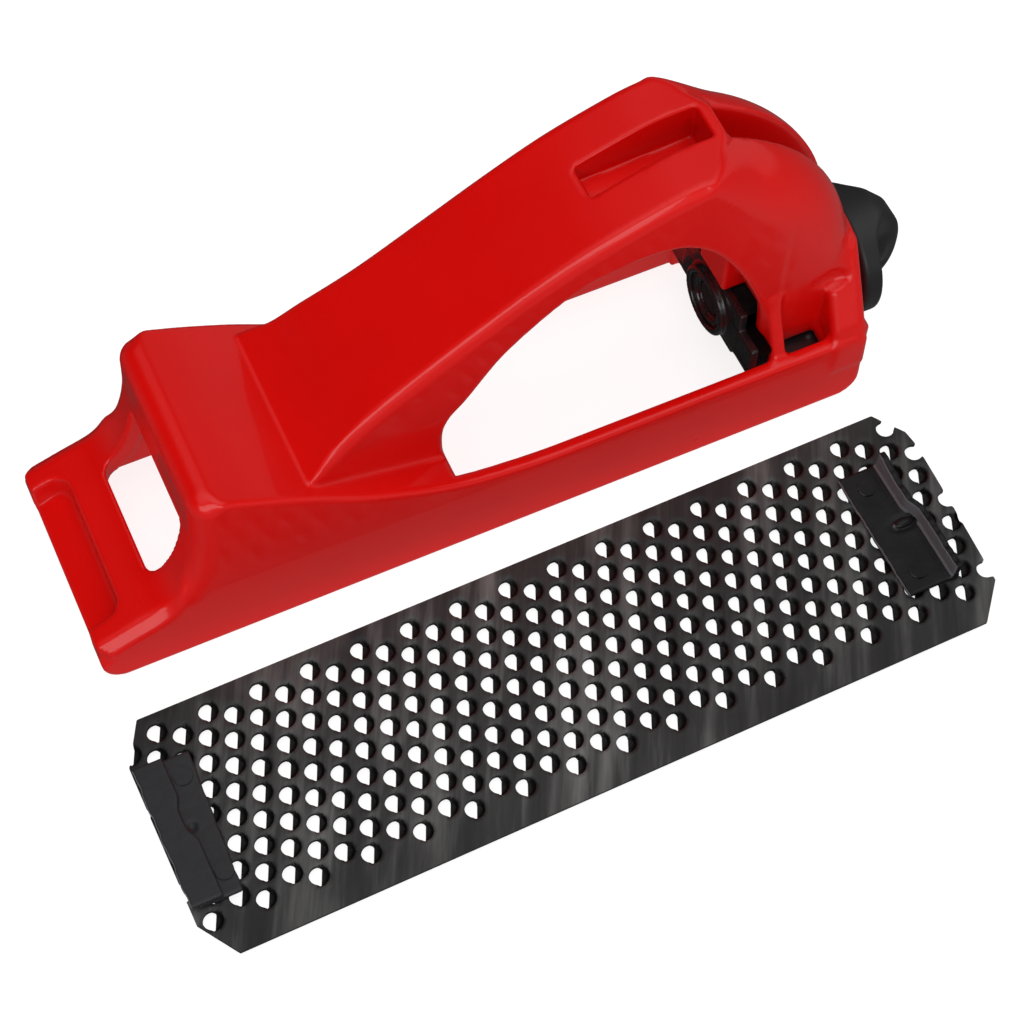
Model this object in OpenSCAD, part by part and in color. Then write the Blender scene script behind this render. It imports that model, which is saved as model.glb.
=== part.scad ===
// Hand plane rasp: a die-cast bow-handled body, a perforated blade with two welded
// hooks, and a knob that draws the blade tight through a screw and a carriage.
// X runs from the nose to the knob, Z is up, and the blade lies beside the body. The
// origin is under the middle of the whole outline, on the surface that the sole rests on.
// The modules are drawn with the nose's front edge at x = 0, and placed() moves them.

/* [Body] */
// Length of the casting, nose to rear wall
body_len = 138; // [130:1:150]
// Half width of the sole
sole_hw = 19.5; // [18:0.5:22]
// Half width at the top of the platform
platform_hw = 17.3; // [16:0.1:18]
// Thickness of the casting's walls
wall_t = 2.4; // [1.8:0.1:3]
// Height of the side rails
rail_h = 15; // [13:0.5:17]
// Height of the platform's front edge
platform_h = 38; // [36:0.5:40]
// Height of the crease where the handle leaves the platform
crease_h = 29; // [27:0.5:31]

/* [Handle] */
// Half width of the handle
handle_hw = 12; // [11:0.5:13]
// Half width of the handle at the crease
crease_hw = 15.3; // [14:0.1:16]
// Height of the handle's highest point
crest_h = 63; // [60:0.5:65]
// Outer radius of the rear arch
arch_r = 47.3; // [46:0.1:49]
// Inner radius of the rear arch
arch_in_r = 27; // [25:0.5:28]
// Edge rounding of the rear arch
arch_round = 8.8; // [6:0.1:9]
// Width of the pocket and the slot in the handle
pocket_w = 6.2; // [5:0.1:8]

/* [Nose] */
// Width of the window behind the nose bar
window_w = 22; // [18:1:24]
// Width of the seat in the nose bar for the front hook
hook_seat_w = 28; // [26.5:0.5:30]

/* [Tension screw] */
// Height of the screw's axis
screw_z = 13; // [12.8:0.1:14]
// Diameter of the tension screw
screw_d = 6; // [5:0.5:6]
// Diameter of the knob's disc
knob_d = 23.2; // [20:0.2:25]
// Length of the knob's wing behind the disc
wing_len = 9.5; // [7:0.5:12]

/* [Blade] */
// Length of the blade
blade_len = 140; // [130:1:142]
// Width of the blade
blade_w = 42; // [40:1:44]
// Thickness of the blade sheet
blade_t = 0.8; // [0.6:0.1:1]
// Distance of the blade's middle from the body's middle
blade_y = 48.35; // [45:0.05:60]
// Turn of the blade beside the body, in degrees
blade_turn = 0.85; // [0:0.05:2]
// Spacing of the cutting holes along a row
hole_pitch = 8.8; // [8.4:0.05:9.2]

/* [Hidden] */
$fn = 64;
over = 1;

red = "firebrick";
black = "dimgray";
steel = "silver";

// Casting
nose_h = 8;
bar_rear_x = 12;
bar_rear_h = 12;
front_x = 19;
crease_x = 38;
shoulder_end_x = 62;
opening_x = 62.5;
rear_rib_x = 118.5;
rib_x = 119.7;
rib_t = 2.6;
post_x = 131.6;
chamber_h = 17;
chamber_low_h = 11.4;
chamber_in_hw = 10.4;
arch_x = 91.1;
arch_z = 20;
arch_angle = 86;
crest_x = 96;
rear_x = body_len - 3.5;
rail_in_hw = sole_hw - 0.06 * rail_h - wall_t;
draft = (sole_hw - platform_hw) / platform_h;
corner_r = 4;

// Tension screw and what sits on it
hub_d = 15;
hub_len = 1.2;
bore_d = screw_d + 0.4;
running_d = screw_d + 0.16;
knob_x = body_len + hub_len + 1.1;
disc_t = 3.6;
grip_depth = 7.5;
washer_t = 1;
clip_t = 1;
clip_x = rear_x - washer_t - clip_t - 0.1;
groove_d = screw_d - 1;
screw_tip_x = 116.5;

// Carriage and its nut
plate_x = 116.6;
plate_t = 1.5;
plate_z = 9.2;
plate_hw = 14.8;
plate_top_hw = 9.8;
flange_end_x = 130.5;
flange_in_hw = 6.8;
claw_w = 5.6;
claw_drop = 5.6;
channel_len = 10.7;
channel_hw = 7.4;
channel_z = 5.6;
nut_t = 5;
nut_af = 10;

// Blade and its hooks
blade_x = 68.2;
blade_z = 1;
tooth_h = 0.9;
hook_w = 25.5;
hook_t = 1;
weld_d = 3;
weld_t = 0.3;

// Rows of holes: each row is a step towards the near edge and a shift along the blade
hole_rows = 17;
hole_w = 2.6;
hole_l = 2.1;
row_shift = 3.62;
row_step = 2.03;
row_x = -64.4;
row_y = 17.55;

// Points of an arc round (cx, cz), from angle a to angle b
function arc(cx, cz, r, a, b, n) = [for (i = [0:n])
    let (t = a + (b - a) * i / n) [cx + r * cos(t), cz + r * sin(t)]];

// A smooth curve through the points p, with n steps between neighbours
function spline(p, n) = [for (i = [0:len(p) - 2], k = [0:n - 1])
    let (a = p[max(i - 1, 0)], b = p[i], c = p[i + 1], d = p[min(i + 2, len(p) - 1)], t = k / n)
    0.5 * (2 * b + (c - a) * t + (2 * a - 5 * b + 4 * c - d) * t * t
           + (3 * b - a - 3 * c + d) * t * t * t)];

// Child outline, drawn as (x, z), extruded across the body to half width hw
module across(hw) {
    rotate([90, 0, 0]) linear_extrude(2 * hw, center = true) children();
}

// Block along X from x0 to x1 whose half width falls from hw0 at z = 0 with the casting's draft
module drafted(x0, x1, hw0, h) {
    translate([x0, 0, 0]) rotate([90, 0, 90]) linear_extrude(x1 - x0)
        polygon([[-hw0 - draft * over, -over], [hw0 + draft * over, -over],
                 [hw0 - draft * h, h], [-hw0 + draft * h, h]]);
}

// Side view of the nose, the platform, the shoulders and the rails
module skirt_outline() {
    polygon(concat(
        arc(corner_r, corner_r, corner_r, 270, 180, 6),
        [[0, nose_h], [bar_rear_x, bar_rear_h]],
        spline([[bar_rear_x, bar_rear_h], [15.5, 15], [17.5, 20], [18.3, 26], [18.8, 33.5]], 4),
        arc(front_x + 2.6, platform_h - 3, 2.8, 175, 75, 6),
        [[crease_x, crease_h], [shoulder_end_x - 10, crease_h - 7.4]],
        spline([[shoulder_end_x - 10, crease_h - 7.4], [shoulder_end_x, rail_h + 1.9],
                [shoulder_end_x + 8, rail_h]], 4),
        [[body_len - 1, rail_h]],
        arc(body_len - corner_r, corner_r, corner_r, 0, -90, 6)));
}

// Side view of the handle in front of the arch, filled down to the platform's underside
module handle_outline() {
    polygon(concat(
        [[crease_x - 3, crease_h - 6], [crease_x, crease_h]],
        spline([[crease_x, crease_h], [48.6, 36], [58.6, 41.8], [78.6, 53.6], [90.6, 58.9],
                [crest_x, crest_h - 2.3]], 4),
        [[crest_x, crest_h - 2.3], [crest_x, rail_h - 3], [crease_x - 3, rail_h - 3]]));
}

// The handle's outline seen from above
module handle_plan() {
    side = [[crease_x - 3, crease_hw], [crease_x + 3, crease_hw - 0.4], [46, handle_hw + 1.2],
            [52, handle_hw], [crest_x, handle_hw]];
    polygon(concat(side, [for (i = [len(side) - 1:-1:0]) [side[i][0], -side[i][1]]]));
}

// Section of the rear arch, with its distance from the arch's centre along x
module arch_section() {
    translate([arch_in_r, -handle_hw]) square([arch_r - arch_round - arch_in_r, 2 * handle_hw]);
    flat_hw = handle_hw - arch_round;
    translate([arch_in_r, -flat_hw]) square([arch_r - arch_in_r, 2 * flat_hw]);
    for (side = [-1, 1]) translate([arch_r - arch_round, side * flat_hw]) circle(arch_round);
}

// The rear arch: a rounded bar swept round the finger opening, level with the handle's top at its start
module arch() {
    intersection() {
        translate([arch_x, 0, arch_z]) rotate([90, 0, 0])
            rotate_extrude(angle = arch_angle, $fn = 96) arch_section();
        across(handle_hw + over) polygon([[crest_x - 3, 0], [crest_x - 3, crest_h - 3.5],
                                          [98.6, crest_h - 1.4], [104, crest_h - 0.2], [110.3, crest_h + 0.2],
                                          [body_len + 2, crest_h + 0.2], [body_len + 2, 0]]);
    }
}

// Bridge from rail to rail, with shoulders that slope up to the arch's flanks
module buttress(x0, x1, foot_hw, foot_z, top_z) {
    translate([x0, 0, 0]) rotate([90, 0, 90]) linear_extrude(x1 - x0)
        polygon([[-foot_hw, 0], [-foot_hw, foot_z], [-handle_hw, top_z],
                 [handle_hw, top_z], [foot_hw, foot_z], [foot_hw, 0]]);
}

// The block at the rear that joins the arch to the rails and houses the carriage
module rear_block() {
    buttress(rib_x, rib_x + rib_t, rail_in_hw + 1, rail_h, rail_h + 10.5);
    buttress(post_x, body_len - 1.4, rail_in_hw + 1.8, rail_h + 0.8, rail_h + 11);
    across(handle_hw) polygon([[114, 10], [114, 30], [128, 36], [136, 32], [138.2, 24], [body_len, 10]]);
    translate([body_len - over, 0, screw_z]) rotate([0, 90, 0]) cylinder(d = hub_d, h = hub_len + over);
}

// The opening for the fingers, down through the sole between the rails
module finger_opening() {
    across(rail_in_hw) polygon(concat(
        [[opening_x + 0.5, -over]],
        spline([[opening_x + 0.5, rail_h - 1], [opening_x, 19], [opening_x + 0.2, 24.5],
                [66.5, 31.2], [71.5, 38.4], [79.7, 45.7], [87.8, 50.1], [94.4, 51.2],
                [101.5, 50.4], [108.1, 45.3], [112.2, 39.1],
                [115.7, 32.2], [119.2, 23.3], [120.5, 15]], 4),
        [[120.5, 15], [120.5, -over]]));
}

// Hollow under the platform and the nose bar, open below
module front_hollow() {
    intersection() {
        drafted(-over, 60, sole_hw - wall_t, platform_h);
        across(sole_hw) polygon([[-over, -over], [-over, 0.8], [1, 0.8], [7, 3], [9, 8.6],
                                 [bar_rear_x + 2, 9.4], [17.5, 13], [20.6, 20], [21.4, 30],
                                 [22.2, platform_h - 3.4],
                                 [crease_x, crease_h - 3.2], [59.5, 15.5], [59.5, -over]]);
    }
}

// Window between the nose bar and the front wall
module window() {
    w = window_w / 2;
    intersection() {
        across(w) polygon([[bar_rear_x, 0], [bar_rear_x, 14], [14, 26.5], [22, 26.5], [22, 12], [17, 0]]);
        translate([bar_rear_x - 4, 0, 19.2]) rotate([0, 90, 0]) linear_extrude(20) union() {
            square([20, window_w], center = true);
            square([14, window_w + 0.01], center = true);
        }
    }
}

// Seat in the nose bar that the blade's front hook drops into
module hook_seat() {
    corner = 4;
    w = hook_seat_w / 2;
    intersection() {
        across(w) polygon([[-over, 2.6], [6, 5.4], [6, 20], [-over, 20]]);
        linear_extrude(20) union() {
            translate([-over, -w]) square([over + 6 - corner, 2 * w]);
            translate([-over, -w + corner]) square([over + 6, 2 * (w - corner)]);
            for (side = [-1, 1]) translate([6 - corner, side * (w - corner)]) circle(corner);
        }
    }
}

// Space for the carriage: open to the finger opening and below
module carriage_chamber() {
    across(plate_hw + 0.5) polygon([[114, -over], [114, chamber_h], [rib_x + rib_t, chamber_h],
                                    [rib_x + rib_t, chamber_low_h], [rear_x, chamber_low_h],
                                    [rear_x, -over]]);
    difference() {
        across(chamber_in_hw)
            polygon([[114, 10], [114, 24.5], [123, 24.5], [rear_x, 21.5], [rear_x, 10]]);
        // Web that hangs from the arch over the screw
        across(4) polygon([[113, 21], [124, 21], [124, 26], [113, 26]]);
    }
}

// Pockets between the arch's flanks and the rails, open above and below
module flank_pockets() {
    difference() {
        drafted(rib_x + rib_t, post_x, sole_hw - wall_t, rail_h + over);
        across(handle_hw) polygon([[rib_x, chamber_low_h], [post_x + over, chamber_low_h],
                                   [post_x + over, 30], [rib_x, 30]]);
    }
}

module body_casting() {
    color(red) difference() {
        union() {
            intersection() {
                across(sole_hw) skirt_outline();
                drafted(-over, body_len + over, sole_hw, platform_h + 2);
            }
            intersection() {
                across(sole_hw) handle_outline();
                linear_extrude(crest_h + 5) handle_plan();
            }
            arch();
            rear_block();
        }
        front_hollow();
        window();
        hook_seat();
        finger_opening();
        drafted(opening_x, rear_rib_x, sole_hw - wall_t, rail_h + over);
        carriage_chamber();
        flank_pockets();
        // Pocket in the handle's top
        across(pocket_w / 2) polygon([[90.4, 70], [90.4, 54.5], [110.5, 56], [110.5, 70]]);
        // Slot down the back of the arch
        across(pocket_w / 2) polygon([[113, 70], [113, 54], [122, 47.5], [128, 38], [130.5, 30],
                                      [150, 30], [150, 70]]);
        on_screw(rear_x - over) cylinder(d = running_d, h = 10);
    }
}

// Outline of the knob's wing from the side: a plate that is round at its free end
module wing_outline() {
    r = knob_d / 2;
    intersection() {
        translate([0, -r]) square([disc_t + wing_len, 2 * r]);
        translate([disc_t + wing_len - 1.25 * r, 0]) circle(1.25 * r);
    }
}

// Disc with a wing across it, on the screw's axis
module knob() {
    color(black) translate([knob_x, 0, screw_z]) difference() {
        union() {
            rotate([0, 90, 0]) cylinder(d = knob_d, h = disc_t);
            across(3) wing_outline();
        }
        translate([-over, 0, 0]) rotate([0, 90, 0]) cylinder(d = screw_d, h = over + grip_depth);
    }
}

// Child drawn along the screw's axis, with its start at x0
module on_screw(x0) {
    translate([x0, 0, screw_z]) rotate([0, 90, 0]) children();
}

module tension_screw() {
    color(steel) on_screw(screw_tip_x) difference() {
        cylinder(d = screw_d, h = knob_x + grip_depth - screw_tip_x);
        translate([0, 0, clip_x - screw_tip_x]) difference() {
            cylinder(d = screw_d + over, h = clip_t);
            cylinder(d = groove_d, h = clip_t);
        }
    }
}

// Flat ring on the screw
module washer(x0, d) {
    color(steel) on_screw(x0) difference() {
        cylinder(d = d, h = washer_t);
        translate([0, 0, -over]) cylinder(d = bore_d, h = washer_t + 2 * over);
    }
}

module knob_washer() { washer(knob_x - washer_t - 0.02, 12); }

module thrust_washer() { washer(clip_x + clip_t, 12); }

// Open ring in the screw's groove
module retaining_clip() {
    color(steel) on_screw(clip_x) difference() {
        cylinder(d = 10.5, h = clip_t);
        translate([0, 0, -over]) cylinder(d = groove_d, h = clip_t + 2 * over);
        translate([0, -groove_d / 2 + 0.5, -over]) cube([10, groove_d - 1, clip_t + 2 * over]);
    }
}

// Pressed plate that rides in the chamber, with a round cup, a channel and two claws for the rear hook
module tension_carriage() {
    cup_d = 12.8;
    color(black) difference() {
        union() {
            translate([plate_x, -plate_hw, plate_z]) cube([plate_t, 2 * plate_hw, 7.2]);
            translate([plate_x, -plate_top_hw, plate_z]) cube([plate_t, 2 * plate_top_hw, 11]);
            on_screw(plate_x - 1.4) cylinder(d = cup_d, h = 1.4 + plate_t);
            for (side = [0, 1]) mirror([0, side, 0]) {
                // Flange along the chamber, with a claw at its end
                translate([plate_x + plate_t, flange_in_hw, plate_z])
                    cube([flange_end_x - plate_x - plate_t, plate_hw - flange_in_hw, plate_t]);
                translate([flange_end_x - plate_t, flange_in_hw, plate_z - claw_drop])
                    cube([plate_t, claw_w, claw_drop]);
            }
            // Channel that keeps the nut from turning
            translate([plate_x + plate_t, 0, 0]) rotate([90, 0, 90]) linear_extrude(channel_len)
                difference() {
                    translate([-channel_hw, channel_z])
                        square([2 * channel_hw, plate_z + plate_t - channel_z]);
                    translate([-channel_hw + plate_t - 0.2, channel_z + plate_t - 0.1])
                        square([2 * (channel_hw - plate_t + 0.2), 20]);
                }
        }
        on_screw(plate_x - 1.4 - over) cylinder(d = bore_d, h = 8);
        // Recess inside the rim of the cup
        on_screw(plate_x - 1.4 - over) cylinder(d = cup_d - 2.6, h = over + 1);
    }
}

module carriage_nut() {
    color(steel) on_screw(plate_x + plate_t) difference() {
        rotate([0, 0, 30]) cylinder(d = nut_af / cos(30), h = nut_t, $fn = 6);
        translate([0, 0, -over]) cylinder(d = running_d, h = nut_t + 2 * over);
    }
}

// Moves children from the blade's own middle to where the blade lies
module on_blade() {
    translate([blade_x, -blade_y, blade_z]) rotate([0, 0, blade_turn]) children();
}

// Middles of the cutting holes, on the blade's own middle
hole_points = [for (row = [0:hole_rows - 1], k = [-8:16])
    let (x = row_x + row * row_shift + k * hole_pitch)
    if (abs(x) < blade_len / 2 + 0.4) [x, row_y - row * row_step]];

// A hole that is round to the front and straight along its cutting edge
module cutting_hole() {
    polygon(concat(arc(0, 0, hole_w / 2, 90, 270, 4), [[hole_l - hole_w / 2, -hole_w / 2 + 0.1],
                                                   [hole_l - hole_w / 2, hole_w / 2 - 0.1]]));
}

module blade_sheet() {
    l = blade_len / 2;
    w = blade_w / 2;
    color(black) on_blade() {
        linear_extrude(blade_t) difference() {
            polygon([[-l, -w + 6.7], [-l, w - 7.2], [-l + 4, w], [l - 2.8, w], [l + 0.9, w - 5.2],
                     [l + 1.3, w - 8], [l + 0.9, 2], [l, -w + 6], [l - 5.2, -w], [-l + 4.3, -w]]);
            for (p = hole_points) translate(p) cutting_hole();
        }
        // The teeth: lips pushed down behind each hole
        translate([0, 0, -tooth_h]) linear_extrude(tooth_h) for (p = hole_points)
            if (abs(p[0]) < l - 4) translate([p[0] + hole_l - hole_w / 2, p[1] - 0.9]) square([0.6, 1.8]);
    }
}

// Strip across the blade with the side view of a hook, on the sheet's upper face
module hook(half) {
    color(black) on_blade() translate([0, 0, blade_t]) across(half) children();
}

module front_hook() {
    hook(hook_w / 2) polygon([[-61.1, 0], [-61.1, hook_t], [-64.8, hook_t], [-64.8, 2.3], [-69.9, 2.3],
                              [-69.9, 1.3], [-65.8, 1.3], [-65.8, 0]]);
}

module rear_hook() {
    hook(hook_w / 2 - 0.7)
        polygon([[55.4, 0], [64.5, 0], [64.9, 4], [63.7, 4], [63.3, hook_t], [55.4, hook_t]]);
}

// Weld nuggets that stand on the hooks' flanges
module hook_welds() {
    color(steel) on_blade() for (x = [-63, 59], y = [-8.5, 8.5])
        translate([x, y, blade_t + hook_t]) cylinder(d = weld_d, h = weld_t);
}

// Moves children so that the origin is under the middle of the whole outline
module placed() {
    front = blade_x - blade_len / 2 * cos(blade_turn) - (blade_w / 2 - 7.2) * sin(blade_turn);
    rear = knob_x + disc_t + wing_len;
    near = -blade_y - blade_w / 2 * cos(blade_turn) - (blade_len / 2 - 4.3) * sin(blade_turn);
    translate([-(front + rear) / 2, -(near + sole_hw) / 2, 0]) children();
}

placed() body_casting();
placed() knob();
placed() tension_screw();
placed() knob_washer();
placed() thrust_washer();
placed() retaining_clip();
placed() tension_carriage();
placed() carriage_nut();
placed() blade_sheet();
placed() front_hook();
placed() rear_hook();
placed() hook_welds();
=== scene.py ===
import math

import bpy
import numpy as np
from mathutils import Matrix, Vector


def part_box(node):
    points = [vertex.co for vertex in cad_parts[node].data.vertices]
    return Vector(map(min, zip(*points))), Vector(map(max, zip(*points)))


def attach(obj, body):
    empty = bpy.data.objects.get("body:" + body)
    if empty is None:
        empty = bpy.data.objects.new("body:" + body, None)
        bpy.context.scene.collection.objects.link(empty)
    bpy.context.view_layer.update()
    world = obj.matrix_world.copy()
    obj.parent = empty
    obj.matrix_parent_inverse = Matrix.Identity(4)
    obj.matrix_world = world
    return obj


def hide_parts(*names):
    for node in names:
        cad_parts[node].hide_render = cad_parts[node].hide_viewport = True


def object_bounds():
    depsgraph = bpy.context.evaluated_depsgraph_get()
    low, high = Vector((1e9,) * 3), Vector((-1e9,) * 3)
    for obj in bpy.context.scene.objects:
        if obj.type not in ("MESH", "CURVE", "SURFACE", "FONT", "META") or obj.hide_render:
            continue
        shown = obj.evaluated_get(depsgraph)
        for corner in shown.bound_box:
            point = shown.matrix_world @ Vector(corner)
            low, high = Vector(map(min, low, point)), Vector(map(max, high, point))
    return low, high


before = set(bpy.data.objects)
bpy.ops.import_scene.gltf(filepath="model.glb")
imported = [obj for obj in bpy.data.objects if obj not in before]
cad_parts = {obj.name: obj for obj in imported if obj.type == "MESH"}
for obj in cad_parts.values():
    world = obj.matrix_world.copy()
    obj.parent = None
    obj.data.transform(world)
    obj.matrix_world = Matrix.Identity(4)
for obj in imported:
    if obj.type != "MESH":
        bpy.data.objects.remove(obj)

CAD_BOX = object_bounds()
MM = 0.001

# The shapes below are drawn in millimetres from the middle of the nose's front edge: x to the
# rear, y across and z up. ORIGIN is that point in the frame.
cast_low, cast_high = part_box("body_casting")
ORIGIN = np.array([cast_low.x, (cast_low.y + cast_high.y) / 2, cast_low.z])
# Height of the screw's axis, which the hub, the knob and the carriage are round
SCREW_Z = 13.0

# ---------------------------------------------------------------- distance functions


def smooth(t):
    t = np.clip(t, 0, 1)
    return t * t * (3 - 2 * t)


def round_inter(a, b, r):
    """Both solids at once, their common edge rounded to radius r."""
    u, v = np.maximum(a + r, 0), np.maximum(b + r, 0)
    return np.minimum(np.maximum(a, b), -r) + np.sqrt(u * u + v * v)


def fillet_union(a, b, r):
    """Either solid, with a fillet of radius r in the corner between them."""
    return -round_inter(-a, -b, r)


def cut(a, b, r):
    """a without b, the new edges rounded to radius r."""
    return round_inter(a, -b, r)


def box(x, y, z, x0, x1, y0, y1, z0, z1, r=0.0):
    """A block with rounded edges."""
    qx = np.abs(x - (x0 + x1) / 2) - (x1 - x0) / 2 + r
    qy = np.abs(y - (y0 + y1) / 2) - (y1 - y0) / 2 + r
    qz = np.abs(z - (z0 + z1) / 2) - (z1 - z0) / 2 + r
    out = np.sqrt(np.maximum(qx, 0) ** 2 + np.maximum(qy, 0) ** 2 + np.maximum(qz, 0) ** 2)
    return out + np.minimum(np.maximum(np.maximum(qx, qy), qz), 0) - r


def ellipsoid(x, y, z, middle, radii):
    """Below 0 inside, and -1 in the middle, so it isn't in millimetres."""
    (a, b, c), (p, q, r) = middle, radii
    return np.sqrt(((x - a) / p) ** 2 + ((y - b) / q) ** 2 + ((z - c) / r) ** 2) - 1


def rotate(x, y, angle):
    c, s = math.cos(angle), math.sin(angle)
    return c * x - s * y, s * x + c * y


def spline(points, n=12):
    """Points on a smooth curve through the given ones."""
    p = np.array(points, float)
    made = []
    for i in range(len(p) - 1):
        a, b, c, d = p[max(i - 1, 0)], p[i], p[i + 1], p[min(i + 2, len(p) - 1)]
        for t in np.arange(n) / n:
            made.append(0.5 * (2 * b + (c - a) * t + (2 * a - 5 * b + 4 * c - d) * t * t
                               + (3 * b - a - 3 * c + d) * t ** 3))
    return [tuple(q) for q in made] + [tuple(p[-1])]


def arc(cx, cz, r, a, b, n=14):
    return [(cx + r * math.cos(math.radians(a + (b - a) * i / n)),
             cz + r * math.sin(math.radians(a + (b - a) * i / n))) for i in range(n + 1)]


class Curve:
    """A height or a half width that changes along x."""

    def __init__(self, points):
        p = np.array(spline(points, 24))
        self.x, self.v = p[:, 0], p[:, 1]
        self.slope = np.gradient(self.v, self.x)

    def __call__(self, x):
        return np.interp(x, self.x, self.v)

    def below(self, x, z):
        """Distance to the region below the curve."""
        return (z - self(x)) / np.sqrt(1 + np.interp(x, self.x, self.slope) ** 2)


class Outline:
    """The signed distance to a closed outline in the x-z plane, read from a fine table."""

    STEP = 0.2
    LOW, HIGH = (-4, -4), (144, 70)

    def __init__(self, points):
        self.low = np.array(self.LOW, float)
        self.n = np.ceil((np.array(self.HIGH) - self.low) / self.STEP).astype(int) + 1
        x = self.low[0] + self.STEP * np.arange(self.n[0])[:, None]
        z = self.low[1] + self.STEP * np.arange(self.n[1])[None, :]
        best = np.full(self.n, 1e9)
        inside = np.zeros(self.n, bool)
        for (ax, az), (bx, bz) in zip(points, points[1:] + points[:1]):
            ex, ez = bx - ax, bz - az
            if ex * ex + ez * ez < 1e-12:
                continue
            t = np.clip(((x - ax) * ex + (z - az) * ez) / (ex * ex + ez * ez), 0, 1)
            best = np.minimum(best, (x - ax - ex * t) ** 2 + (z - az - ez * t) ** 2)
            if az != bz:
                spans = (z >= min(az, bz)) & (z < max(az, bz))
                inside ^= spans & (x < ax + (z - az) * ex / ez)
        self.table = np.where(inside, -1, 1) * np.sqrt(best)

    def __call__(self, x, z):
        u = np.clip((x - self.low[0]) / self.STEP, 0, self.n[0] - 1.001)
        v = np.clip((z - self.low[1]) / self.STEP, 0, self.n[1] - 1.001)
        i, k = np.floor(u).astype(int), np.floor(v).astype(int)
        u, v = u - i, v - k
        t = self.table
        return ((t[i, k] * (1 - u) + t[i + 1, k] * u) * (1 - v)
                + (t[i, k + 1] * (1 - u) + t[i + 1, k + 1] * u) * v)


# ---------------------------------------------------------------- meshes from distances


# A slope is taken from two samples this far to either side, and vertices move in so many rounds
PROBE, FLAT_PROBE, FIT_ROUNDS = 0.02, 0.01, 3


def spacing(final):
    """The spacing of a net, as given."""
    return final


def crossing(v, at, edges):
    """The mean of the points where v passes through 0 on the edges of each cell."""
    total, n = np.zeros((len(at), v.ndim)), np.zeros(len(at))
    for p, q in edges:
        vp, vq = v[tuple((at + p).T)], v[tuple((at + q).T)]
        hit = (vp < 0) != (vq < 0)
        t = np.where(hit, vp / np.where(hit, vp - vq, 1), 0)
        total += hit[:, None] * (np.array(p) + t[:, None] * (np.array(q) - np.array(p)))
        n += hit
    return total / np.maximum(n, 1)[:, None]


def surface_net(f, low, high, step):
    """Vertices and quads of a closed mesh on f = 0, each vertex moved onto the surface."""
    axes = [np.arange(a, b + step, step) for a, b in zip(low, high)]
    gx, gy, gz = np.meshgrid(*axes, indexing="ij", sparse=True)
    v = np.asarray(f(gx, gy, gz))
    v = np.where(v == 0, 1e-9, v)
    neg = v < 0
    count = np.zeros(tuple(n - 1 for n in v.shape), np.int8)
    corners = [(a, b, c) for a in (0, 1) for b in (0, 1) for c in (0, 1)]
    for a, b, c in corners:
        count += neg[a:v.shape[0] - 1 + a, b:v.shape[1] - 1 + b, c:v.shape[2] - 1 + c]
    cell = (count > 0) & (count < 8)
    index = np.full(cell.shape, -1)
    index[cell] = np.arange(cell.sum())
    at = np.argwhere(cell)
    edges = [(p, q) for p in corners for q in corners
             if p < q and sum(abs(s - t) for s, t in zip(p, q)) == 1]
    points = np.array(low) + step * (at + crossing(v, at, edges))
    quads = []
    for axis in range(3):
        u, w = [a for a in range(3) if a != axis]
        here = [slice(1, -1)] * 3
        here[axis] = slice(0, -1)
        there = list(here)
        there[axis] = slice(1, None)
        change = neg[tuple(here)] != neg[tuple(there)]
        start = neg[tuple(here)]
        e = np.argwhere(change)
        flip = start[change]
        offset = np.ones(3, int)
        offset[axis] = 0
        e = e + offset
        du, dw = np.eye(3, dtype=int)[u], np.eye(3, dtype=int)[w]
        ring = [e - du - dw, e - dw, e, e - du]
        q = np.stack([index[tuple(c.T)] for c in ring], 1)
        if axis == 1:
            flip = ~flip
        q[~flip] = q[~flip][:, ::-1]
        quads.append(q)
    quads = np.concatenate(quads)
    e = PROBE
    for _ in range(FIT_ROUNDS):
        x, y, z = points.T
        d = f(x, y, z)
        g = np.stack([f(x + e, y, z) - f(x - e, y, z), f(x, y + e, z) - f(x, y - e, z),
                      f(x, y, z + e) - f(x, y, z - e)], 1) / (2 * e)
        move = -d[:, None] * g / np.maximum((g * g).sum(1), 0.25)[:, None]
        length = np.linalg.norm(move, axis=1)
        points = points + move * np.minimum(1, 0.6 * step / np.maximum(length, 1e-9))[:, None]
    return points, quads


def to_frame(points):
    return ORIGIN + np.asarray(points) * MM


def mesh_piece(name, points, faces, material, body, nodes, sharp=None):
    """A smooth-shaded piece that rides on a body and stands for CAD nodes."""
    mesh = bpy.data.meshes.new(name)
    mesh.from_pydata(to_frame(points).tolist(), [], faces.tolist())
    mesh.validate()
    mesh.shade_smooth()
    if sharp:
        mesh.set_sharp_from_angle(angle=math.radians(sharp))
    mesh.materials.append(material)
    piece = bpy.data.objects.new(name, mesh)
    bpy.context.scene.collection.objects.link(piece)
    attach(piece, body)
    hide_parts(*nodes)


# ---------------------------------------------------------------- materials


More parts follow.
